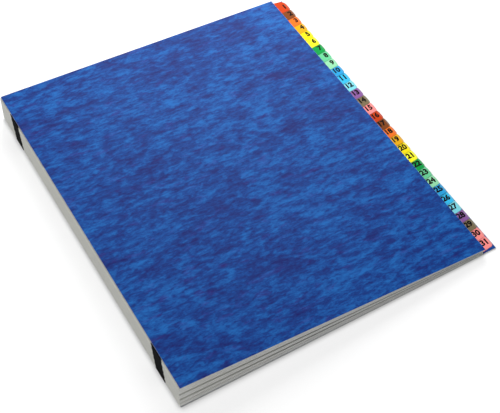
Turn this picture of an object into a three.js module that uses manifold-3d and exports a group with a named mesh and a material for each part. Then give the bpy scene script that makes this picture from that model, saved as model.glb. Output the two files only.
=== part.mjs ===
// Expandable desk file: two pressboard covers and a stack of tabbed dividers on two elastic bands.
// Millimetres, +Z up. The file lies closed on its back cover with its spine to the left (-X) and
// the length of the spine along Y. The origin is under the middle of the file.
import * as THREE from 'three';
import { mergeVertices } from 'three/addons/utils/BufferGeometryUtils.js';
import Module from 'manifold-3d';

const wasm = await Module();
wasm.setup();

// Driving dimensions of the covers
const fileHeight = 304.8;
const frontCoverWidth = 242.3;
const tabExposure = 11;
const coverThickness = 0.5;

// Driving dimensions of the dividers
const dividerCount = 31;
const sheetThickness = 0.08;
const sheetEndInset = 0.3;
const sheetEdgeInset = 1.6;
const hemThickness = 0.56;
const hemFlatWidth = 5;
const hemWidth = 14;
const plyRootThickness = 0.45;
const plyTailThickness = 0.1;
const plyEdgeInset = 17.3;
const hemStepWidth = 0.3;
const spineLean = 1.3;

// Driving dimensions of the tabs
const tabHeight = 13.2;
const tabRootFlare = 0.9;
const tabTipTaper = 0.5;
const tabUpperRadius = 5.5;
const tabLowerRadius = 2.5;
const tabEdgeInset = 0.3;
const firstTabInset = 3.8;
const lastTabInset = 2.4;

// Driving dimensions of the elastic bands
const bandWidth = 14.5;
const bandThickness = 0.55;
const bandFromEnd = 31.3;
const bandSlant = 5;
const bandFlapLength = 15;
const bandFlapThickness = 0.3;
const bandFlapSideInset = 0.8;
const bandEndInset = 0.1;
const bandToothDepth = 0.55;
const bandToothCount = 5;

// Clearances between neighbours, at the spine and at the tabs
const hemGap = 0.07;
const sheetGap = 0.015;
const looseHemGap = 0.6;
const looseSheetGap = 0.2;
const looseBelow = [10, 19, 25];
const flapGap = 0.08;
const coverSheetGap = 0.03;
const bandSeatGap = 0.15;
const bandSideGap = 0.35;

// Colours of the tabs, which repeat down the stack, and of the other pieces
const tabColours = [
  0xeb4b28, 0xa5552d, 0xf0782d, 0xfab432, 0xfae61e,
  0xfcf832, 0x0f9b4b, 0x6ec896, 0x96dcaf, 0x32a0d7,
  0x3cbef0, 0x6ed2f0, 0x8250a5, 0x7d6e55, 0xfa9191,
];
const coverColour = 0x2b55a8;
const bandColour = 0x121212;

// The covers stand back from the hem noses by the band that passes over their edges
const coverSpineInset = bandThickness + bandSeatGap;
const flapSpace = bandFlapThickness + 2 * flapGap;
const backCoverEdge = coverSpineInset + frontCoverWidth + tabExposure;
const frontCoverSpine = spineLean + coverSpineInset;
const frontCoverEdge = frontCoverSpine + frontCoverWidth;
const sheetEdge = frontCoverEdge - sheetEdgeInset;
const plyWidth = frontCoverWidth - plyEdgeInset;
const tabLine = backCoverEdge - tabEdgeInset;
const arcSteps = 5;

// Every sheet lies on a slope: its underside is atSpine high at x = 0 and atTabs high at the tab line
function slope(atSpine, atTabs) {
  return { atSpine, atTabs };
}

function layOn(geometry, level) {
  const rise = (level.atTabs - level.atSpine) / tabLine;
  const shear = new THREE.Matrix4().set(
    1, 0, 0, 0,
    0, 1, 0, 0,
    rise, 0, 1, level.atSpine,
    0, 0, 0, 1,
  );
  return geometry.applyMatrix4(shear);
}

// Levels of the stack from the back cover up: the last divider is the lowest
function stackLevels() {
  const levels = [];
  let spine = coverThickness + flapSpace;
  let tabs = coverThickness + coverSheetGap;
  for (let number = dividerCount; number >= 1; number -= 1) {
    levels[number] = slope(spine, tabs);
    const loose = looseBelow.includes(number - 1);
    spine += hemThickness + (loose ? looseHemGap : hemGap);
    tabs += sheetThickness + (loose ? looseSheetGap : sheetGap);
  }
  const topSpine = levels[1].atSpine + hemThickness + flapSpace;
  const topTabs = levels[1].atTabs + sheetThickness + coverSheetGap;
  levels[0] = slope(topSpine, topTabs);
  return levels;
}

const levels = stackLevels();
const frontCoverLevel = levels[0];
const spineHeight = frontCoverLevel.atSpine + coverThickness;

// How far the spine leans in at a height, and where one hem stands on that lean
function leanAt(height) {
  return (spineLean * height) / spineHeight;
}

function hemMiddle(number) {
  return levels[number].atSpine + hemThickness / 2;
}

// Closed solids from closed geometries, and back
function toSolid(geometry) {
  const bare = geometry.clone();
  bare.deleteAttribute('normal');
  bare.deleteAttribute('uv');
  const merged = mergeVertices(bare, 1e-5);
  return new wasm.Manifold(new wasm.Mesh({
    numProp: 3,
    vertProperties: Float32Array.from(merged.attributes.position.array),
    triVerts: Uint32Array.from(merged.index.array),
  }));
}

function toGeometry(solid) {
  const mesh = solid.getMesh();
  const geometry = new THREE.BufferGeometry();
  geometry.setAttribute('position', new THREE.BufferAttribute(Float32Array.from(mesh.vertProperties), 3));
  geometry.setIndex(new THREE.BufferAttribute(Uint32Array.from(mesh.triVerts), 1));
  return geometry;
}

// A plan outline in X and Y raised to a thickness
function plate(shape, thickness) {
  return new THREE.ExtrudeGeometry(shape, { depth: thickness, bevelEnabled: false, curveSegments: arcSteps });
}

// A section in X and Z drawn out along Y from one height of the page to another
function drawnAlongY(shape, from, to) {
  const geometry = plate(shape, to - from);
  const turn = new THREE.Matrix4().set(
    1, 0, 0, 0,
    0, 0, -1, to,
    0, 1, 0, 0,
    0, 0, 0, 1,
  );
  return geometry.applyMatrix4(turn);
}

function block(from, to) {
  const size = new THREE.Vector3().subVectors(to, from);
  const geometry = new THREE.BoxGeometry(size.x, size.y, size.z);
  return geometry.translate(from.x + size.x / 2, from.y + size.y / 2, from.z + size.z / 2);
}

// The band's middle and its two zigzag edges at a height on the spine
function toothAt(height) {
  const turn = (height / spineHeight) * bandToothCount;
  const phase = turn - Math.floor(turn);
  return bandToothDepth * (4 * Math.abs(phase - 0.5) - 1);
}

function bandEdges(height, middle) {
  const drift = bandSlant * (height / spineHeight - 0.5);
  const centre = middle + drift + toothAt(height);
  return [centre - bandWidth / 2, centre + bandWidth / 2];
}

const bandMiddles = { elastic_band_back: fileHeight - bandFromEnd, elastic_band_front: bandFromEnd };

// The hem: a fold with a round nose, and the backing ply that thins from it towards the tabs
function hemSection(lean) {
  const radius = hemThickness / 2;
  const section = new THREE.Shape();
  section.moveTo(lean + radius, 0);
  section.lineTo(lean + plyWidth + hemStepWidth, 0);
  section.lineTo(lean + plyWidth + hemStepWidth, sheetThickness);
  section.lineTo(lean + plyWidth, plyTailThickness);
  section.lineTo(lean + hemWidth, plyRootThickness);
  section.lineTo(lean + hemFlatWidth, hemThickness);
  section.lineTo(lean + radius, hemThickness);
  section.absarc(lean + radius, radius, radius, Math.PI / 2, (3 * Math.PI) / 2, false);
  return section;
}

// Where a tab's lower end lies along the free edge
function tabEnd(number) {
  const run = fileHeight - firstTabInset - lastTabInset - tabHeight;
  return lastTabInset + (run * (dividerCount - number)) / (dividerCount - 1);
}

// A corner rounded between two straight edges, with its arc drawn as one curve
function roundCorner(path, before, corner, after, radius) {
  const back = new THREE.Vector2().subVectors(before, corner).setLength(radius);
  const ahead = new THREE.Vector2().subVectors(after, corner).setLength(radius);
  const start = new THREE.Vector2().addVectors(corner, back);
  const end = new THREE.Vector2().addVectors(corner, ahead);
  path.lineTo(start.x, start.y);
  path.quadraticCurveTo(corner.x, corner.y, end.x, end.y);
}

// The sheet in plan, from under its ply's tail to the free edge, with its one tab
function sheetOutline(number, lean) {
  const start = lean + plyWidth - hemStepWidth;
  const low = sheetEndInset;
  const high = fileHeight - sheetEndInset;
  const end = tabEnd(number);
  const rootLow = new THREE.Vector2(sheetEdge, Math.max(end - tabRootFlare, low));
  const tipLow = new THREE.Vector2(tabLine, end + tabTipTaper);
  const tipHigh = new THREE.Vector2(tabLine, end + tabHeight - tabTipTaper);
  const rootHigh = new THREE.Vector2(sheetEdge, Math.min(end + tabHeight + tabRootFlare, high));
  const outline = new THREE.Shape();
  outline.moveTo(start, low);
  outline.lineTo(sheetEdge, low);
  outline.lineTo(rootLow.x, rootLow.y);
  roundCorner(outline, rootLow, tipLow, tipHigh, tabLowerRadius);
  roundCorner(outline, tipLow, tipHigh, rootHigh, tabUpperRadius);
  outline.lineTo(rootHigh.x, rootHigh.y);
  outline.lineTo(sheetEdge, high);
  outline.lineTo(start, high);
  return outline;
}

// One notch in a hem, wide enough for the band at that height
function notch(number, lean, middle) {
  const [low, high] = bandEdges(hemMiddle(number), middle);
  const from = new THREE.Vector3(lean - hemThickness, low - bandSideGap, -hemThickness);
  const to = new THREE.Vector3(lean + coverSpineInset, high + bandSideGap, 2 * hemThickness);
  return toSolid(block(from, to));
}

function dividerGeometry(number) {
  const lean = leanAt(hemMiddle(number));
  const hem = toSolid(drawnAlongY(hemSection(lean), sheetEndInset, fileHeight - sheetEndInset));
  const sheet = toSolid(plate(sheetOutline(number, lean), sheetThickness));
  let leaf = hem.add(sheet);
  for (const middle of Object.values(bandMiddles)) {
    leaf = leaf.subtract(notch(number, lean, middle));
  }
  return layOn(toGeometry(leaf), levels[number]);
}

function coverGeometry(spine, edge, level) {
  const from = new THREE.Vector3(spine, 0, 0);
  const to = new THREE.Vector3(edge, fileHeight, coverThickness);
  return layOn(block(from, to), level);
}

// The strip of a band that crosses the spine, with zigzag edges that turn at each tooth
function bandStrip(middle) {
  const turns = 2 * bandToothCount;
  const heights = [bandEndInset];
  for (let turn = 1; turn < turns; turn += 1) {
    heights.push((spineHeight * turn) / turns);
  }
  heights.push(spineHeight - bandEndInset);
  const outline = new THREE.Shape();
  const edges = heights.map((height) => bandEdges(height, middle));
  outline.moveTo(edges[0][1], heights[0]);
  for (let step = 1; step < heights.length; step += 1) {
    outline.lineTo(edges[step][1], heights[step]);
  }
  for (let step = heights.length - 1; step >= 0; step -= 1) {
    outline.lineTo(edges[step][0], heights[step]);
  }
  const rise = spineLean / spineHeight;
  const stand = new THREE.Matrix4().set(
    0, rise, 1, 0,
    1, 0, 0, 0,
    0, 1, 0, 0,
    0, 0, 0, 1,
  );
  return toSolid(plate(outline, bandThickness).applyMatrix4(stand));
}

// A glued end of a band, flat between a cover and the hem beside it
function bandFlap(middle, level, offset, height) {
  const [low, high] = bandEdges(height, middle);
  const root = leanAt(height) + bandThickness / 2;
  const from = new THREE.Vector3(root, low + bandFlapSideInset, offset);
  const to = new THREE.Vector3(root + bandFlapLength, high - bandFlapSideInset, offset + bandFlapThickness);
  return toSolid(layOn(block(from, to), level));
}

function bandGeometry(middle) {
  const backLevel = slope(0, 0);
  const lowOffset = coverThickness + flapGap;
  const highOffset = -flapGap - bandFlapThickness;
  const lowFlap = bandFlap(middle, backLevel, lowOffset, lowOffset);
  const highFlap = bandFlap(middle, frontCoverLevel, highOffset, frontCoverLevel.atSpine + highOffset);
  return toGeometry(bandStrip(middle).add(lowFlap).add(highFlap));
}

function piece(name, geometry, colour, roughness) {
  geometry.computeVertexNormals();
  const material = new THREE.MeshStandardMaterial({ color: colour, roughness, metalness: 0 });
  const mesh = new THREE.Mesh(geometry, material);
  mesh.name = name;
  return mesh;
}

function covers() {
  const front = coverGeometry(frontCoverSpine, frontCoverEdge, frontCoverLevel);
  const back = coverGeometry(coverSpineInset, backCoverEdge, slope(0, 0));
  return [
    piece('front_cover', front, coverColour, 0.45),
    piece('back_cover', back, coverColour, 0.45),
  ];
}

function dividers() {
  const pieces = [];
  for (let number = 1; number <= dividerCount; number += 1) {
    const name = `divider_${String(number).padStart(2, '0')}`;
    const colour = tabColours[(number - 1) % tabColours.length];
    pieces.push(piece(name, dividerGeometry(number), colour, 0.6));
  }
  return pieces;
}

function bands() {
  return Object.entries(bandMiddles).map(([name, middle]) => (
    piece(name, bandGeometry(middle), bandColour, 0.85)
  ));
}

const deskFile = new THREE.Group();
deskFile.add(...covers(), ...dividers(), ...bands());
deskFile.position.set(-backCoverEdge / 2, -fileHeight / 2, 0);
deskFile.updateMatrixWorld(true);

export default deskFile;
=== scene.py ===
import math

import bpy
from mathutils import Matrix, Vector


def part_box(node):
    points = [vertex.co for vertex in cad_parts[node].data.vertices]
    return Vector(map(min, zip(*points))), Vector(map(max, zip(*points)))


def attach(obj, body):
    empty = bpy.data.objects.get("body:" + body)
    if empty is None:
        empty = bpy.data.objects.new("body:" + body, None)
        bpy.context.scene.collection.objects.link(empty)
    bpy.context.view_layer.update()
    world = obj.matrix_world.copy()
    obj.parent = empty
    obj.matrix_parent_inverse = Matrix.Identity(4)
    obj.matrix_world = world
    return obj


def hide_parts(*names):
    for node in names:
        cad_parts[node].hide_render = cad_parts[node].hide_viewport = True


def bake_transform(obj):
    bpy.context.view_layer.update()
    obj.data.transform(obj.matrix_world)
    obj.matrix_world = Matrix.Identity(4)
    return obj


bl_info = {
    "name": "Expandable desk file",
    "version": (1, 0, 0),
    "blender": (4, 5, 0),
    "location": "3D View > Sidebar > Desk File",
    "description": "Finishes the covers, dividers, numbers and elastic bands of a desk file",
    "category": "Object",
}

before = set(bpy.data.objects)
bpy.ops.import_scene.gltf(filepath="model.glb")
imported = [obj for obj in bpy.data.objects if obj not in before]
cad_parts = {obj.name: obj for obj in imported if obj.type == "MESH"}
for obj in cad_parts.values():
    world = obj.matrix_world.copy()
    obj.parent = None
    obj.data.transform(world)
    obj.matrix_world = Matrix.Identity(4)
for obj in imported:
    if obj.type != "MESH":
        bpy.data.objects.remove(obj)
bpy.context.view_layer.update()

MM = 0.001
DIVIDER_COUNT = 31
LOWEST_BODY = "lowest_divider"

# The leaves whose cut edges lie deeper in the stack, painted dark as the shade in the gaps between the leaves
GAP_SHADED_LEAVES = (10, 11, 19, 20)

# How upright a face's normal is on a sheet's top, and how near a vertex is to the tabs' outer line
SHEET_FACING = 0.9
ON_LINE = 1e-6

# From the front cover's free edge back to the sheets' edge between the tabs
SHEET_EDGE_INSET = 1.6 * MM

# From the middle of the file to where the back cover's two ends show bare board past the sheets
BARE_LIP_START = 152.05 * MM
BARE_LIP_HEIGHT = 1.0 * MM

# The X of the cut edges between which the leaves' edge greys take over, so that the painted shade on the deep
# leaves grows darker
SHADE_START = -125 * MM
SHADE_END = -20 * MM

# Layers of the mottling: cells per metre along each axis, detail, roughness, warp and share of the tone
MOTTLING = {
    "clouds": ((12.0, 20.0, 60.0), 3.0, 0.5, 0.3, 0.12),
    "patches": ((48.0, 120.0, 60.0), 4.0, 0.6, 0.35, 0.32),
    "streaks": ((130.0, 330.0, 60.0), 4.0, 0.65, 0.4, 0.40),
    "specks": ((420.0, 800.0, 300.0), 3.0, 0.65, 0.0, 0.16),
}
WARM_CELLS = (70.0, 210.0, 20.0)

# Linear colours that are mixed in small shares
WORN_CORE = (0.35, 0.35, 0.34, 1.0)
WORN_INK = (0.012, 0.010, 0.010, 1.0)
WORN_YARN = (0.010, 0.010, 0.011, 1.0)
# Painted reflection and shade: the tint of a tab's laminate margin
LAMINATE_REFLECTION_AND_SHADE = (0.30, 0.36, 0.34, 1.0)
TAB_SHADOW = (0.05, 0.05, 0.05, 1.0)
BLACK = (0.0, 0.0, 0.0, 1.0)
WHITE = (1.0, 1.0, 1.0, 1.0)

# Greys of a leaf's cut edge in sRGB; the darkest is painted shade for the gaps of the stack
PALE_EDGE = 0.88
DULL_EDGE = 0.76
# Painted shade: the dark grey of the deep leaves' cut edges stands in for the shadow in the gaps of the stack
PAINTED_GAP_SHADE = 0.15
FOLD_EDGE = (0.86, 0.86, 0.84)

# Yarns of the elastic over the band's UV map, and the steps that its mesh is made in
CORD_YARNS = 14
WEFT_YARNS = 46
STRIP_COLUMNS = 28
STRIP_ROWS = 40
END_ROWS = 4
FLAP_COLUMNS = 12
FLAP_ROWS = 14

# Where the bands' strip starts above the lowest hem's foot and stops under the top hem's crown
STRIP_FOOT = 0.3 * MM
STRIP_CROWN = 0.1 * MM

# Name, place, size and watts of the lamps
LAMPS = (
    ("key", (0.0, 0.15, 1.9), 0.45, 10.0),
    ("sheen", (0.29, 0.52, 0.38), 0.6, 6.2),
    ("side", (-1.0, 0.80, 0.22), 0.4, 5.0),
    ("fill", (-0.5, -1.1, 0.40), 0.6, 4.6),
)

# Printed colours of the tabs in sRGB, which repeat down the stack
TAB_COLOURS = (
    ("red", (0.78, 0.25, 0.06)),
    ("brown", (0.50, 0.26, 0.10)),
    ("orange", (0.93, 0.45, 0.13)),
    ("amber", (0.91, 0.67, 0.06)),
    ("yellow", (0.98, 0.89, 0.06)),
    ("lemon", (1.00, 0.98, 0.16)),
    ("green", (0.05, 0.61, 0.28)),
    ("mint", (0.41, 0.80, 0.58)),
    ("pale_mint", (0.58, 0.86, 0.67)),
    ("blue", (0.17, 0.63, 0.86)),
    ("sky", (0.22, 0.75, 0.94)),
    ("cyan", (0.50, 0.85, 0.90)),
    ("purple", (0.55, 0.36, 0.62)),
    ("taupe", (0.49, 0.43, 0.32)),
    ("salmon", (1.00, 0.57, 0.56)),
)


def length(name, description, default):
    """A size in metres that the panel shows with its unit."""
    return bpy.props.FloatProperty(
        name=name, description=description, default=default, unit="LENGTH", precision=5
    )


def colour(name, description, default):
    """An sRGB colour that the panel shows as a swatch."""
    return bpy.props.FloatVectorProperty(
        name=name, description=description, default=default, size=3, min=0, max=1, subtype="COLOR_GAMMA"
    )


def share(name, description, default):
    """A plain number between 0 and 1."""
    return bpy.props.FloatProperty(
        name=name, description=description, default=default, min=0, max=1, subtype="FACTOR", precision=3
    )


def turn(name, description, degrees):
    """An angle that is written in degrees."""
    return bpy.props.FloatProperty(
        name=name, description=description, default=math.radians(degrees), subtype="ANGLE", unit="ROTATION"
    )


class DESKFILE_PG_pressboard(bpy.types.PropertyGroup):
    deep: colour("Deep blue", "Darkest tone of the mottling", (0.070, 0.108, 0.395))
    middle: colour("Middle blue", "Main tone of the mottling", (0.050, 0.245, 0.540))
    light: colour("Light blue", "Lightest tone of the mottling", (0.100, 0.395, 0.700))
    plum: colour("Plum", "Tint of some of the streaks", (0.30, 0.16, 0.52))
    plum_share: share("Plum share", "How strong the plum tint is", 0.16)
    core: colour("Core", "Bare board at the cut edges", (0.84, 0.84, 0.82))
    roughness: share("Roughness", "Roughness of the coat where the patches are thin", 0.38)
    specular: share("Specular", "Strength of the coat's gloss", 0.05)
    relief: length("Relief", "Height of the board's felted surface", 0.10 * MM)
    edge_round: length("Edge round", "Rounding of the boards' cut edges", 0.12 * MM)


class DESKFILE_PG_dividers(bpy.types.PropertyGroup):
    card: colour("Card", "Grey of the divider card", (0.83, 0.83, 0.80))
    print_depth: length("Print depth", "How far a tab's colour runs into its sheet", 4.5 * MM)
    corner_run: length("Corner run", "Length of a tab's lower rounded corner along the free edge", 2.5 * MM)
    upper_run: length("Upper run", "From the straight part of a tab's edge to the top of its root", 8.0 * MM)
    lower_slant: length("Lower slant", "Drop of a tab's lower edge from its tip to its root", 1.4 * MM)
    rim_width: length("Rim width", "Clear margin of the laminate along a tab's outer edge", 1.3 * MM)
    # Painted shadow: the dark line at a tab's lower edge stands in for the shade at the step down to the next
    # tab
    line_width: length("Line width", "Dark line at a tab's lower edge", 0.6 * MM)
    digit_height: length("Digit height", "Height of the printed numbers", 5.5 * MM)
    digit_inset: length("Digit inset", "Middle of a one-digit number from the tabs' outer line", 3.2 * MM)
    digit_shift: length("Digit shift", "How much nearer the cover a two-digit number is", 1.3 * MM)
    digit_rise: length("Digit rise", "Middle of a number from its tab's lower end", 5.6 * MM)
    digit_narrowing: share("Digit narrowing", "Width of the numbers against their type's own width", 0.9)
    digit_boldness: share("Digit boldness", "How much the type's strokes are fattened", 0.05)
    ink_thickness: length("Ink thickness", "Thickness of the printed numbers", 0.02 * MM)
    ink: colour("Ink", "Colour of the numbers", (0.03, 0.02, 0.03))


class DESKFILE_PG_bands(bpy.types.PropertyGroup):
    width: length("Width", "Width of an elastic band", 14.2 * MM)
    thickness: length("Thickness", "Thickness of an elastic band", 0.5 * MM)
    from_end: length("From end", "Middle of a band from the end of the spine", 31.3 * MM)
    slant: length("Slant", "How far a band drifts along the spine from its foot to its top", 5.0 * MM)
    lean: length("Lean", "How far the spine leans in at its top", 1.3 * MM)
    tooth_depth: length("Tooth depth", "Swing of the band's zigzag edges", 0.58 * MM)
    tooth_count: bpy.props.IntProperty(
        name="Teeth", description="Zigzags on the height of the spine", default=5, min=1
    )
    cord_depth: length("Cord depth", "Height of the woven cords", 0.05 * MM)
    flap_length: length("Flap length", "Glued end between a cover and a hem", 15.0 * MM)
    flap_thickness: length("Flap thickness", "Thickness of a glued end", 0.3 * MM)
    flap_gap: length("Flap gap", "Clearance of a glued end to its cover", 0.08 * MM)
    flap_inset: length("Flap inset", "Step at each side of a glued end", 0.8 * MM)
    black: colour("Black", "Dyed yarn", (0.055, 0.053, 0.055))


class DESKFILE_PG_stage(bpy.types.PropertyGroup):
    azimuth: turn("Azimuth", "Turn of the camera about the file", -26.0173)
    elevation: turn("Elevation", "Height of the camera over the table", 51.1196)
    roll: turn("Roll", "Tilt of the camera about its view", -4.1614)
    lens: bpy.props.FloatProperty(
        name="Lens", description="Focal length", default=93.573, unit="CAMERA"
    )
    sensor: bpy.props.FloatProperty(
        name="Sensor", description="Width of the camera's sensor", default=36.0, unit="CAMERA"
    )
    place: bpy.props.FloatVectorProperty(
        name="Place",
        description="Where the camera stands",
        default=(-0.26881, -0.56936, 0.74757),
        subtype="TRANSLATION",
        unit="LENGTH",
    )
    floor_colour: colour("Floor", "Colour of the table top", (0.75, 0.75, 0.75))
    lift: share("Lift", "White that the camera sees on the table", 0.57)
    # Painted contact shadow: the reach of the ambient occlusion that dims the lift near the file
    contact_reach: length("Contact reach", "How far the contact shadow keeps the lift away", 4.0 * MM)
    floor_size: length("Floor size", "Side of the table top", 8.0)
    floor_drop: length("Floor drop", "Clearance under the file", 0.2 * MM)
    sky: colour("Sky", "Colour of the light all round", (0.9867, 0.9934, 1.0))
    sky_strength: share("Sky strength", "Strength of the light all round", 0.20)


def settings():
    """The property groups of the scene."""
    return bpy.context.scene.desk_file


class DESKFILE_PG_all(bpy.types.PropertyGroup):
    pressboard: bpy.props.PointerProperty(type=DESKFILE_PG_pressboard)
    dividers: bpy.props.PointerProperty(type=DESKFILE_PG_dividers)
    bands: bpy.props.PointerProperty(type=DESKFILE_PG_bands)
    stage: bpy.props.PointerProperty(type=DESKFILE_PG_stage)


def linear(srgb):
    """A colour with alpha for a node's socket, from an sRGB colour."""
    parts = [c / 12.92 if c <= 0.04045 else ((c + 0.055) / 1.055) ** 2.4 for c in srgb]
    return (*parts, 1.0)


# Node trees

def add_node(tree, kind, inputs=None, **options):
    """A new node with its options set and its inputs given as values or linked from sockets."""
    made = tree.nodes.new(kind)
    for key, value in options.items():
        setattr(made, key, value)
    for key, value in (inputs or {}).items():
        if isinstance(value, bpy.types.NodeSocket):
            tree.links.new(value, made.inputs[key])
        else:
            made.inputs[key].default_value = value
    return made


def calculate(tree, operation, *values, clamp=False):
    """The result of a Math node."""
    made = add_node(tree, "ShaderNodeMath", dict(enumerate(values)), operation=operation, use_clamp=clamp)
    return made.outputs[0]


def smooth_step(tree, value, low, high):
    """0 below low, 1 above high and smooth between them."""
    made = add_node(
        tree,
        "ShaderNodeMapRange",
        {"Value": value, "From Min": low, "From Max": high},
        interpolation_type="SMOOTHSTEP",
    )
    return made.outputs["Result"]


def mix_colour(tree, factor, first, second, blend="MIX"):
    """Two colours mixed by a factor."""
    made = add_node(tree, "ShaderNodeMix", data_type="RGBA", blend_type=blend)
    sockets = {0: factor, 6: first, 7: second}
    for index, value in sockets.items():
        if isinstance(value, bpy.types.NodeSocket):
            tree.links.new(value, made.inputs[index])
        else:
            made.inputs[index].default_value = value
    return made.outputs[2]


def stretched_noise(tree, vector, stretch, detail, roughness, distortion=0.0):
    """Noise whose cells are stretched by a different number of cells per metre along each axis."""
    scaled = add_node(tree, "ShaderNodeVectorMath", {0: vector, 1: stretch}, operation="MULTIPLY")
    inputs = {
        "Vector": scaled.outputs[0],
        "Scale": 1.0,
        "Detail": detail,
        "Roughness": roughness,
        "Distortion": distortion,
    }
    return add_node(tree, "ShaderNodeTexNoise", inputs).outputs["Fac"]


def new_group(name, inputs, outputs):
    """A shader node group with named sockets, and its input and output nodes."""
    tree = bpy.data.node_groups.new(name, "ShaderNodeTree")
    for socket, kind, default in inputs:
        made = tree.interface.new_socket(socket, in_out="INPUT", socket_type=kind)
        if default is not None:
            made.default_value = default
    for socket, kind in outputs:
        tree.interface.new_socket(socket, in_out="OUTPUT", socket_type=kind)
    return tree, tree.nodes.new("NodeGroupInput"), tree.nodes.new("NodeGroupOutput")


def fibre_group():
    """Paper fibres: a fine felted height and a slow cloudiness, for card and for pressboard."""
    found = bpy.data.node_groups.get("Paper fibres")
    if found:
        return found
    tree, given, out = new_group(
        "Paper fibres",
        [("Vector", "NodeSocketVector", None), ("Cells", "NodeSocketFloat", 900.0)],
        [("Height", "NodeSocketFloat"), ("Cloud", "NodeSocketFloat")],
    )
    sizes = {0: given.outputs["Vector"], "Scale": given.outputs["Cells"]}
    scaled = add_node(tree, "ShaderNodeVectorMath", sizes, operation="SCALE")
    felt = stretched_noise(tree, scaled.outputs[0], (1.0, 0.55, 1.0), 4.0, 0.7, 0.8)
    crossing = stretched_noise(tree, scaled.outputs[0], (0.35, 1.3, 1.0), 3.0, 0.6, 0.4)
    height = calculate(tree, "MULTIPLY_ADD", felt, 0.6, calculate(tree, "MULTIPLY", crossing, 0.4))
    cloud = stretched_noise(tree, scaled.outputs[0], (0.03, 0.03, 0.03), 2.0, 0.5)
    tree.links.new(height, out.inputs["Height"])
    tree.links.new(cloud, out.inputs["Cloud"])
    return tree


def cut_edge_group():
    """A mask that is 1 on the thin cut edges of a flat sheet and 0 on its two faces."""
    found = bpy.data.node_groups.get("Cut edge")
    if found:
        return found
    tree, given, out = new_group(
        "Cut edge", [("Normal", "NodeSocketVector", None)], [("Mask", "NodeSocketFloat")]
    )
    parts = add_node(tree, "ShaderNodeSeparateXYZ", {0: given.outputs["Normal"]})
    facing = calculate(tree, "ABSOLUTE", parts.outputs["Z"])
    mask = calculate(tree, "SUBTRACT", 1.0, smooth_step(tree, facing, 0.90, 0.99))
    tree.links.new(mask, out.inputs["Mask"])
    return tree


def use_group(tree, group, inputs):
    """A group placed in a material's tree."""
    made = add_node(tree, "ShaderNodeGroup", node_tree=group)
    for key, value in inputs.items():
        if isinstance(value, bpy.types.NodeSocket):
            tree.links.new(value, made.inputs[key])
        else:
            made.inputs[key].default_value = value
    return made


def new_material(name):
    """A material with an empty tree, its Principled shader and its texture coordinates."""
    material = bpy.data.materials.new(name)
    material.use_nodes = True
    tree = material.node_tree
    tree.nodes.clear()
    shader = add_node(tree, "ShaderNodeBsdfPrincipled")
    out = add_node(tree, "ShaderNodeOutputMaterial")
    tree.links.new(shader.outputs["BSDF"], out.inputs["Surface"])
    coordinates = add_node(tree, "ShaderNodeTexCoord")
    return material, tree, shader, coordinates


def bump(tree, shader, height, strength, distance):
    """A Bump node from a height to the shader's normal."""
    made = add_node(tree, "ShaderNodeBump", {"Height": height, "Strength": strength, "Distance": distance})
    tree.links.new(made.outputs["Normal"], shader.inputs["Normal"])


def bare_lip(tree, place):
    """A mask that is 1 on the narrow rims of the back cover that stand out past the sheets."""
    position = add_node(tree, "ShaderNodeSeparateXYZ", {0: place})
    end_distance = calculate(tree, "ABSOLUTE", position.outputs["Y"])
    outside = calculate(tree, "GREATER_THAN", end_distance, BARE_LIP_START)
    low = calculate(tree, "LESS_THAN", position.outputs["Z"], BARE_LIP_HEIGHT)
    return calculate(tree, "MULTIPLY", outside, low)


def pressboard_material():
    """Mottled pressboard under an acrylic coat, with bare board at its cut edges."""
    look = settings().pressboard
    material, tree, shader, coordinates = new_material("Mottled pressboard")
    place = coordinates.outputs["Object"]
    layers = {}
    tone = 0.0
    for name, (cells, detail, coarseness, warp, part) in MOTTLING.items():
        layers[name] = stretched_noise(tree, place, cells, detail, coarseness, warp)
        tone = calculate(tree, "MULTIPLY_ADD", layers[name], part, tone)
    ramp = add_node(tree, "ShaderNodeValToRGB", {"Fac": smooth_step(tree, tone, 0.34, 0.66)})
    points = ramp.color_ramp.elements
    points[0].position = 0.05
    points[0].color = linear(look.deep)
    points[1].position = 0.95
    points[1].color = linear(look.light)
    middle = points.new(0.5)
    middle.color = linear(look.middle)
    warm = smooth_step(tree, stretched_noise(tree, place, WARM_CELLS, 3.0, 0.6, 0.3), 0.56, 0.70)
    warm_share = calculate(tree, "MULTIPLY", warm, look.plum_share)
    tinted = mix_colour(tree, warm_share, ramp.outputs["Color"], linear(look.plum))
    edge = use_group(tree, cut_edge_group(), {"Normal": coordinates.outputs["Normal"]})
    fibres = use_group(tree, fibre_group(), {"Vector": place, "Cells": 1300.0})
    core = mix_colour(tree, fibres.outputs["Height"], linear(look.core), WORN_CORE)
    bare_share = calculate(tree, "MAXIMUM", edge.outputs["Mask"], bare_lip(tree, place))
    painted = mix_colour(tree, bare_share, tinted, core)
    tree.links.new(painted, shader.inputs["Base Color"])
    face_roughness = calculate(tree, "MULTIPLY_ADD", layers["patches"], 0.16, look.roughness)
    roughness = add_node(tree, "ShaderNodeMix", {0: edge.outputs["Mask"], 2: face_roughness, 3: 0.9})
    tree.links.new(roughness.outputs[0], shader.inputs["Roughness"])
    shader.inputs["Specular IOR Level"].default_value = look.specular
    relief = calculate(tree, "MULTIPLY_ADD", layers["streaks"], 0.6, fibres.outputs["Height"])
    bump(tree, shader, relief, 0.3, look.relief)
    return material


def ink_material():
    """Printing ink, nearly black."""
    material, tree, shader, coordinates = new_material("Tab ink")
    fibres = use_group(tree, fibre_group(), {"Vector": coordinates.outputs["Object"], "Cells": 2500.0})
    base = linear(settings().dividers.ink)
    worn = mix_colour(tree, fibres.outputs["Height"], base, WORN_INK)
    tree.links.new(worn, shader.inputs["Base Color"])
    shader.inputs["Roughness"].default_value = 0.6
    shader.inputs["Specular IOR Level"].default_value = 0.02
    return material


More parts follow.
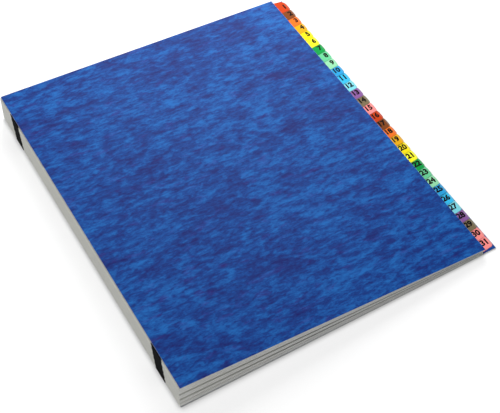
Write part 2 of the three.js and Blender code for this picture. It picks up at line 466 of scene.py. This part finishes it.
def edge_tone(number):
    """Grey of a divider's cut edge: most are pale, some dull, and the leaves that lie deeper in the stack get
    a dark painted shade for the gaps between the leaves.
    """
    if number in GAP_SHADED_LEAVES:
        return PAINTED_GAP_SHADE
    return PALE_EDGE if number % 3 else DULL_EDGE


def printed_mask(tree, tab, across, along):
    """A mask that is 1 on a leaf's printed tab, with edges a little softer than a knife's."""
    blur = 0.1 * MM
    print_start = tab["root"] - settings().dividers.print_depth
    inside = smooth_step(tree, across, print_start, print_start + blur)
    above = smooth_step(tree, along, tab["low"] - blur, tab["low"])
    past = smooth_step(tree, along, tab["high"], tab["high"] + blur)
    below = calculate(tree, "SUBTRACT", 1.0, past)
    return calculate(tree, "MULTIPLY", inside, calculate(tree, "MULTIPLY", above, below))


def tab_print(tree, tone, tab, across, along, cloud):
    """A tab's colour, duller on the laminate's clear margin as a painted reflection and shade, and dark at
    the step down to the next tab as a painted shadow line.
    """
    look = settings().dividers
    blur = 0.1 * MM
    base = linear(tone)
    deeper = tuple(0.72 * part for part in base[:3]) + (1.0,)
    pressed = mix_colour(tree, calculate(tree, "MULTIPLY", cloud, 0.22), base, deeper)
    # Painted reflection and shade: a duller greenish tint along the laminate's clear margin at the tab's
    # outer edge
    rim_start = tab["line"] - look.rim_width
    rim_reflection_and_shade = calculate(tree, "MULTIPLY", smooth_step(tree, across, rim_start - blur, rim_start + blur), 0.22)
    margin = mix_colour(tree, rim_reflection_and_shade, pressed, LAMINATE_REFLECTION_AND_SHADE)
    # Painted shadow: a dark line along the tab's lower edge, where the next tab steps down
    slant = look.lower_slant / (tab["line"] - tab["root"])
    level = calculate(tree, "MULTIPLY_ADD", across, -slant, along)
    edge_level = tab["tip_low"] - slant * tab["line"]
    past_line = smooth_step(tree, level, edge_level, edge_level + look.line_width)
    line = calculate(tree, "SUBTRACT", 1.0, past_line)
    return mix_colour(tree, calculate(tree, "MULTIPLY", line, 0.5), margin, TAB_SHADOW)


def bare_card(tree, number, normal, across, felt):
    """The leaf's grey card, with its fold a little paler and its cut edges in the leaf's own tone, which on
    the deep leaves is painted shade that grows darker away from the spine.
    """
    pale = linear(settings().dividers.card)
    grey = tuple(0.80 * part for part in pale[:3]) + (1.0,)
    card = mix_colour(tree, felt, pale, grey)
    edge = use_group(tree, cut_edge_group(), {"Normal": normal})
    edge_share = calculate(tree, "MULTIPLY", edge.outputs["Mask"], 0.6)
    bare = mix_colour(tree, edge_share, card, linear(FOLD_EDGE))
    facing = add_node(tree, "ShaderNodeSeparateXYZ", {0: normal})
    # Painted shade: the end faces take the leaf's edge grey, more of it away from the spine, so the deep
    # leaves look shadowed in the gaps of the stack
    end_face = smooth_step(tree, calculate(tree, "ABSOLUTE", facing.outputs["Y"]), 0.5, 0.9)
    spread = smooth_step(tree, across, SHADE_START, SHADE_END)
    depth = calculate(tree, "MULTIPLY", end_face, calculate(tree, "MULTIPLY_ADD", spread, 0.5, 0.4))
    return mix_colour(tree, depth, bare, linear((edge_tone(number),) * 3))


def divider_material(number, tab):
    """Grey card with one printed and laminated tab, whose place on the free edge is given."""
    shade, tone = TAB_COLOURS[tab_colour_index(number)]
    material, tree, shader, coordinates = new_material(f"Divider card {number:02d} {shade}")
    place = add_node(tree, "ShaderNodeSeparateXYZ", {0: coordinates.outputs["Object"]})
    across, along = place.outputs["X"], place.outputs["Y"]
    fibres = use_group(tree, fibre_group(), {"Vector": coordinates.outputs["Object"], "Cells": 800.0})
    printed = printed_mask(tree, tab, across, along)
    inked = tab_print(tree, tone, tab, across, along, fibres.outputs["Cloud"])
    card = bare_card(tree, number, coordinates.outputs["Normal"], across, fibres.outputs["Height"])
    tree.links.new(mix_colour(tree, printed, card, inked), shader.inputs["Base Color"])
    roughness = calculate(tree, "MULTIPLY_ADD", printed, -0.3, 0.85)
    tree.links.new(roughness, shader.inputs["Roughness"])
    shader.inputs["Specular IOR Level"].default_value = 0.03
    bump(tree, shader, fibres.outputs["Height"], 0.25, 0.05 * MM)
    return material


def elastic_material():
    """Black woven elastic: cords along the band and weft yarns across them, on the band's own UV map."""
    look = settings().bands
    material, tree, shader, coordinates = new_material("Black woven elastic")
    woven = add_node(tree, "ShaderNodeSeparateXYZ", {0: coordinates.outputs["UV"]})
    cords = calculate(tree, "SINE", calculate(tree, "MULTIPLY", woven.outputs["X"], CORD_YARNS * 2 * math.pi))
    weft = calculate(tree, "SINE", calculate(tree, "MULTIPLY", woven.outputs["Y"], WEFT_YARNS * 2 * math.pi))
    crossed = calculate(tree, "MULTIPLY", cords, weft)
    height = calculate(tree, "MULTIPLY_ADD", crossed, 0.35, calculate(tree, "MULTIPLY_ADD", cords, 0.3, 0.5))
    lint = stretched_noise(tree, coordinates.outputs["UV"], (60.0, 160.0, 1.0), 3.0, 0.7)
    fuzz = calculate(tree, "MULTIPLY", height, lint, clamp=True)
    yarn = mix_colour(tree, fuzz, linear(look.black), WORN_YARN)
    tree.links.new(yarn, shader.inputs["Base Color"])
    shader.inputs["Roughness"].default_value = 0.8
    shader.inputs["Specular IOR Level"].default_value = 0.02
    bump(tree, shader, height, 0.5, 0.08 * MM)
    return material


def floor_material():
    """A plain table top that the camera sees lifted to white, apart from the file's shadow on it and a
    painted contact shadow where ambient occlusion dims the lift near the file.
    """
    material, tree, shader, coordinates = new_material("White table")
    cloud = stretched_noise(tree, coordinates.outputs["Object"], (1.5, 1.5, 1.5), 2.0, 0.5)
    look = settings().stage
    base = linear(look.floor_colour)
    near = tuple(0.985 * part for part in base[:3]) + (1.0,)
    tree.links.new(mix_colour(tree, cloud, base, near), shader.inputs["Base Color"])
    shader.inputs["Roughness"].default_value = 0.95
    shader.inputs["Specular IOR Level"].default_value = 0.0
    seen = add_node(tree, "ShaderNodeLightPath")
    camera_or_gloss = calculate(
        tree, "MAXIMUM", seen.outputs["Is Camera Ray"], seen.outputs["Is Glossy Ray"]
    )
    anyone = calculate(tree, "MAXIMUM", camera_or_gloss, seen.outputs["Is Transmission Ray"])
    lift = calculate(tree, "MULTIPLY", anyone, look.lift)
    # Painted contact shadow: ambient occlusion darkens the lift's colour close to the file
    contact = add_node(tree, "ShaderNodeAmbientOcclusion", {"Distance": look.contact_reach})
    lifted = mix_colour(tree, contact.outputs["AO"], BLACK, WHITE)
    tree.links.new(lifted, shader.inputs["Emission Color"])
    tree.links.new(lift, shader.inputs["Emission Strength"])
    return material


# Small tools for the modelling operators

def deselect_all():
    """Leaves edit mode and selects nothing."""
    if bpy.context.mode != "OBJECT":
        bpy.ops.object.mode_set(mode="OBJECT")
    bpy.ops.object.select_all(action="DESELECT")


def only(piece):
    """Makes one object the selected and active one."""
    deselect_all()
    piece.select_set(True)
    bpy.context.view_layer.objects.active = piece
    return piece


def added(name):
    """The object that an operator has just added, renamed."""
    piece = bpy.context.active_object
    piece.name = name
    piece.data.name = name
    return piece


def apply_modifier(piece, kind, name, **options):
    """A modifier added with its options and applied."""
    only(piece)
    modifier = piece.modifiers.new(name, kind)
    for key, value in options.items():
        setattr(modifier, key, value)
    bpy.ops.object.modifier_apply(modifier=modifier.name)


def settle(piece):
    """Puts the place of a finished piece in its mesh."""
    only(piece)
    bpy.ops.object.transform_apply(location=True, rotation=True, scale=True)


def clean_mesh(piece):
    """Merges doubles and turns every face out."""
    only(piece)
    bpy.ops.object.mode_set(mode="EDIT")
    bpy.ops.mesh.select_all(action="SELECT")
    bpy.ops.mesh.remove_doubles(threshold=1e-7)
    bpy.ops.mesh.normals_make_consistent(inside=False)
    bpy.ops.object.mode_set(mode="OBJECT")


def select_vertices(piece, chosen):
    """Selects the vertices that a test picks, and leaves the piece in edit mode."""
    only(piece)
    bpy.ops.object.mode_set(mode="EDIT")
    bpy.ops.mesh.select_all(action="DESELECT")
    bpy.ops.mesh.select_mode(type="VERT")
    bpy.ops.object.mode_set(mode="OBJECT")
    for vertex in piece.data.vertices:
        vertex.select = chosen(vertex.co)
    bpy.ops.object.mode_set(mode="EDIT")


def move_selected(shift):
    """Moves the selected vertices and leaves edit mode."""
    bpy.ops.transform.translate(value=shift)
    bpy.ops.object.mode_set(mode="OBJECT")


def give(piece, material):
    """Gives a new piece its one material."""
    piece.data.materials.clear()
    piece.data.materials.append(material)


def dress(node_name, material):
    """Gives a node of the frame its finish."""
    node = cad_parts[node_name]
    for material_slot in node.material_slots:
        material_slot.material = material
    return node


def tab_colour_index(number):
    """The colours run through twice, and the last tab keeps the last colour."""
    return (min(number, DIVIDER_COUNT - 1) - 1) % len(TAB_COLOURS)


def divider_name(number):
    """The node of a divider, counted from the top."""
    return f"divider_{number:02d}"


def divider_body(number):
    """The body that a divider's node is part of."""
    return LOWEST_BODY if number == DIVIDER_COUNT else f"leaf_{number:02d}"


def tab_place(number):
    """Where a divider's tab is, read from its solid: its outer line, its root, its ends and its top plane."""
    look = settings().dividers
    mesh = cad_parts[divider_name(number)].data
    line = max(v.co.x for v in mesh.vertices)
    on_line = [v.co for v in mesh.vertices if v.co.x > line - ON_LINE]
    tip_low = min(co.y for co in on_line)
    tip_high = max(co.y for co in on_line)
    faces = [p for p in mesh.polygons if p.normal.z > SHEET_FACING]
    top = next(p for p in faces if max(mesh.vertices[i].co.x for i in p.vertices) > line - ON_LINE)
    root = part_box("front_cover")[1].x - SHEET_EDGE_INSET
    return {
        "line": line,
        "root": root,
        "tip_low": tip_low - look.corner_run,
        "low": tip_low - 1.6 * look.corner_run,
        "high": tip_high + look.upper_run,
        "plane_point": mesh.vertices[top.vertices[0]].co.copy(),
        "plane_normal": top.normal.copy(),
    }


def height_on(tab, x, y):
    """The height of a tab's top face at a place."""
    n, p = tab["plane_normal"], tab["plane_point"]
    return p.z - (n.x * (x - p.x) + n.y * (y - p.y)) / n.z


class DESKFILE_OT_covers(bpy.types.Operator):
    """Finishes the two pressboard covers and rounds their cut edges"""

    bl_idname = "desk_file.covers"
    bl_label = "Covers"

    def execute(self, context):
        board = pressboard_material()
        for name in ("front_cover", "back_cover"):
            node = dress(name, board)
            node.modifiers.new("Joined corners", "WELD").merge_threshold = 1e-6
            rounding = node.modifiers.new("Rounded cut edges", "BEVEL")
            rounding.width = settings().pressboard.edge_round
            rounding.segments = 2
            rounding.limit_method = "ANGLE"
        return {"FINISHED"}


class DESKFILE_OT_dividers(bpy.types.Operator):
    """Finishes the divider cards, each with its own printed tab"""

    bl_idname = "desk_file.dividers"
    bl_label = "Divider cards"

    def execute(self, context):
        for number in range(1, DIVIDER_COUNT + 1):
            dress(divider_name(number), divider_material(number, tab_place(number)))
        return {"FINISHED"}


class DESKFILE_OT_numbers(bpy.types.Operator):
    """Prints the day numbers on the tabs, as thin ink that lies on the card"""

    bl_idname = "desk_file.numbers"
    bl_label = "Numbers"

    def execute(self, context):
        look = settings().dividers
        ink = ink_material()
        for number in range(1, DIVIDER_COUNT + 1):
            deselect_all()
            bpy.ops.object.text_add(location=(0, 0, 0))
            piece = added(f"number_{number:02d}")
            piece.data.body = str(number)
            piece.data.size = 1.0
            piece.data.offset = look.digit_boldness
            piece.data.extrude = 0.5
            piece.data.resolution_u = 3
            only(piece)
            bpy.ops.object.convert(target="MESH")
            self.place(piece, str(number), tab_place(number), look)
            clean_mesh(piece)
            give(piece, ink)
            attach(piece, divider_body(number))
        return {"FINISHED"}

    def place(self, piece, number, tab, look):
        """Scales a number to its height, centres it on its part of the tab and lays it on the card."""
        only(piece)
        bpy.ops.object.origin_set(type="ORIGIN_GEOMETRY", center="BOUNDS")
        size = look.digit_height / piece.dimensions.y
        middle = Vector((tab["line"] - look.digit_inset, tab["tip_low"] + look.digit_rise, 0))
        if len(number) > 1:
            middle.x -= look.digit_shift
        middle.z = height_on(tab, middle.x, middle.y)
        up = tab["plane_normal"]
        piece.scale = (size * look.digit_narrowing, size, look.ink_thickness)
        piece.rotation_euler = Vector((0, 0, 1)).rotation_difference(up).to_euler()
        piece.location = middle + 0.25 * look.ink_thickness * up
        settle(piece)


class DESKFILE_OT_bands(bpy.types.Operator):
    """Weaves the two elastic bands: the strip across the spine and the glued ends at both covers"""

    bl_idname = "desk_file.bands"
    bl_label = "Elastic bands"

    def execute(self, context):
        elastic = elastic_material()
        spine_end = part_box("front_cover")[1].y
        middles = {
            "elastic_band_back": spine_end - settings().bands.from_end,
            "elastic_band_front": -spine_end + settings().bands.from_end,
        }
        for node_name, middle in middles.items():
            self.weave(node_name, middle, elastic)
        return {"FINISHED"}

    def weave(self, node_name, middle, elastic):
        """One band in three stretches: the strip on the spine and an end at each cover."""
        foot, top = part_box(node_name)[0].z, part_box(node_name)[1].z
        hem_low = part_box(divider_name(DIVIDER_COUNT))[0].z + STRIP_FOOT
        hem_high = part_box(divider_name(1))[1].z - STRIP_CROWN
        strip = self.strip(f"{node_name}_strip", middle, hem_low, hem_high, STRIP_ROWS)
        upper = self.end(f"{node_name}_upper_end", middle, hem_high, top, "front_cover", -1)
        lower = self.end(f"{node_name}_lower_end", middle, foot, hem_low, "back_cover", 1)
        for piece in (strip, upper, lower):
            give(piece, elastic)
        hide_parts(node_name)
        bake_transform(strip)
        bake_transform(upper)
        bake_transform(lower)

    def row_shift(self, height):
        """How far along the spine a row of the band is shifted by its slant and its zigzag."""
        look = settings().bands
        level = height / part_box("front_cover")[1].z
        teeth = level * look.tooth_count
        tooth = look.tooth_depth * (4 * abs(teeth - math.floor(teeth) - 0.5) - 1)
        return look.slant * (level - 0.5) + tooth

    def strip(self, name, middle, low, high, rows):
        """A woven strip that stands on the spine: a grid shifted row by row, with raised cords."""
        look = settings().bands
        height = high - low
        deselect_all()
        bpy.ops.mesh.primitive_grid_add(
            x_subdivisions=STRIP_COLUMNS, y_subdivisions=rows, size=1, calc_uvs=True, location=(0, 0, 0)
        )
        piece = added(name)
        piece.scale = (look.width, height, 1)
        settle(piece)
        piece.matrix_world = Matrix(((0, 0, -1, 0), (-1, 0, 0, 0), (0, 1, 0, 0), (0, 0, 0, 1)))
        settle(piece)
        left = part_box("elastic_band_back")[0].x
        lean = look.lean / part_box("front_cover")[1].z
        step = height / rows
        for row in range(rows + 1):
            level = -height / 2 + row * step
            select_vertices(piece, lambda co: abs(co.z - level) < step / 4)
            real = low + row * step
            move_selected((left + lean * real, middle + self.row_shift(real), 0))
        column = look.width / STRIP_COLUMNS
        for cord in range(1, STRIP_COLUMNS, 2):
            side = middle - look.width / 2 + cord * column
            select_vertices(
                piece, lambda co: abs(co.y - self.row_shift(co.z + low + height / 2) - side) < column / 4
            )
            move_selected((-look.cord_depth, 0, 0))
        piece.location.z = low + height / 2
        settle(piece)
        apply_modifier(piece, "SOLIDIFY", "Band thickness", thickness=look.thickness, offset=-1)
        clean_mesh(piece)
        only(piece)
        bpy.ops.object.shade_smooth_by_angle(angle=math.radians(50))
        return piece

    def end(self, name, middle, low, high, cover, side):
        """A band's end: a short stretch of strip and the thin flap that is glued inside the cover."""
        piece = self.strip(name, middle, low, high, END_ROWS)
        flap = self.flap(f"{name}_flap", middle, cover, side)
        deselect_all()
        flap.select_set(True)
        piece.select_set(True)
        bpy.context.view_layer.objects.active = piece
        bpy.ops.object.join()
        return piece

    def flap(self, name, middle, cover, side):
        """The flap on the cover's slope. The side is 1 above the back cover and -1 under the front one."""
        look = settings().bands
        deselect_all()
        bpy.ops.mesh.primitive_grid_add(
            x_subdivisions=FLAP_COLUMNS, y_subdivisions=FLAP_ROWS, size=1, calc_uvs=True, location=(0, 0, 0)
        )
        flap = added(name)
        flap.scale = (look.flap_length, look.width - 2 * look.flap_inset, 1)
        settle(flap)
        rise = cover_rise(cover)
        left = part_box("elastic_band_back")[0].x + look.thickness / 2
        if cover == "front_cover":
            left += look.lean
        gap = look.flap_gap + look.flap_thickness / 2
        face = cover_inner_face(cover, left)
        half = look.flap_length / 2
        flap.rotation_euler.y = -math.atan(rise)
        flap.location = (left + half, middle + self.row_shift(face), face + side * gap + rise * half)
        settle(flap)
        apply_modifier(flap, "SOLIDIFY", "Flap thickness", thickness=look.flap_thickness, offset=0)
        clean_mesh(flap)
        return flap


def cover_rise(cover):
    """The slope of a cover from its spine edge to its free edge."""
    low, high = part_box(cover)
    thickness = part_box("back_cover")[1].z
    return -(high.z - low.z - thickness) / (high.x - low.x)


def cover_inner_face(cover, x):
    """The height of a cover's inner face at a distance from the spine."""
    low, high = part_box(cover)
    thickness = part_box("back_cover")[1].z
    if cover == "back_cover":
        return thickness
    return high.z - thickness + cover_rise(cover) * (x - low.x)


class DESKFILE_OT_stage(bpy.types.Operator):
    """Lays the white table, hangs the soft lamps and sets up the camera"""

    bl_idname = "desk_file.stage"
    bl_label = "Stage"

    def execute(self, context):
        self.camera()
        self.floor()
        self.lamps()
        self.world()
        context.scene.view_settings.view_transform = "Standard"
        return {"FINISHED"}

    def camera(self):
        """The camera, turned, raised and rolled as the settings say."""
        look = settings().stage
        swing, rise, roll = look.azimuth, look.elevation, look.roll
        back = Vector((math.sin(swing) * math.cos(rise), -math.cos(swing) * math.cos(rise), math.sin(rise)))
        level = Vector((math.cos(swing), math.sin(swing), 0))
        upright = back.cross(level)
        right = math.cos(roll) * level + math.sin(roll) * upright
        up = math.cos(roll) * upright - math.sin(roll) * level
        deselect_all()
        bpy.ops.object.camera_add(location=look.place)
        camera = bpy.context.active_object
        camera.name = "photo_camera"
        camera.data.lens = look.lens
        camera.data.sensor_width = look.sensor
        camera.data.clip_start = 50 * MM
        turned = Matrix((right, up, back)).transposed()
        camera.rotation_euler = turned.to_euler()
        bpy.context.scene.camera = camera

    def floor(self):
        """The table top, a little under the file."""
        look = settings().stage
        deselect_all()
        bpy.ops.mesh.primitive_plane_add(size=look.floor_size, location=(0, 0, -look.floor_drop))
        floor = added("table_top")
        settle(floor)
        give(floor, floor_material())

    def lamps(self):
        """A soft key nearly overhead, a sheen light behind on the right, a side light and a front fill."""
        aim = Vector((0, 0, 0))
        for name, place, size, power in LAMPS:
            deselect_all()
            bpy.ops.object.light_add(type="AREA", location=place)
            lamp = bpy.context.active_object
            lamp.name = f"{name}_lamp"
            lamp.data.shape = "DISK"
            lamp.data.size = size
            lamp.data.energy = power
            lamp.rotation_euler = (Vector(place) - aim).to_track_quat("Z", "Y").to_euler()

    def world(self):
        """An even, faintly cool light all round."""
        look = settings().stage
        world = bpy.data.worlds.new("Studio")
        bpy.context.scene.world = world
        world.use_nodes = True
        background = world.node_tree.nodes["Background"]
        background.inputs["Color"].default_value = linear(look.sky)
        background.inputs["Strength"].default_value = look.sky_strength


STEPS = ("stage", "covers", "dividers", "numbers", "bands")


class DESKFILE_PT_panel(bpy.types.Panel):
    """Lists the steps and sizes of the desk file"""

    bl_label = "Desk File"
    bl_idname = "DESKFILE_PT_panel"
    bl_space_type = "VIEW_3D"
    bl_region_type = "UI"
    bl_category = "Desk File"

    def draw(self, context):
        for step in STEPS:
            self.layout.operator(f"desk_file.{step}")
        for group in (settings().pressboard, settings().dividers, settings().bands, settings().stage):
            box = self.layout.box()
            for name in group.bl_rna.properties.keys():
                if name not in {"rna_type", "name"}:
                    box.prop(group, name)


CLASSES = (
    DESKFILE_PG_pressboard,
    DESKFILE_PG_dividers,
    DESKFILE_PG_bands,
    DESKFILE_PG_stage,
    DESKFILE_PG_all,
    DESKFILE_OT_stage,
    DESKFILE_OT_covers,
    DESKFILE_OT_dividers,
    DESKFILE_OT_numbers,
    DESKFILE_OT_bands,
    DESKFILE_PT_panel,
)


def register():
    for item in CLASSES:
        bpy.utils.register_class(item)
    bpy.types.Scene.desk_file = bpy.props.PointerProperty(type=DESKFILE_PG_all)


def unregister():
    del bpy.types.Scene.desk_file
    for item in reversed(CLASSES):
        bpy.utils.unregister_class(item)


def main():
    register()
    for step in STEPS:
        getattr(bpy.ops.desk_file, step)()


if __name__ == "__main__":
    main()
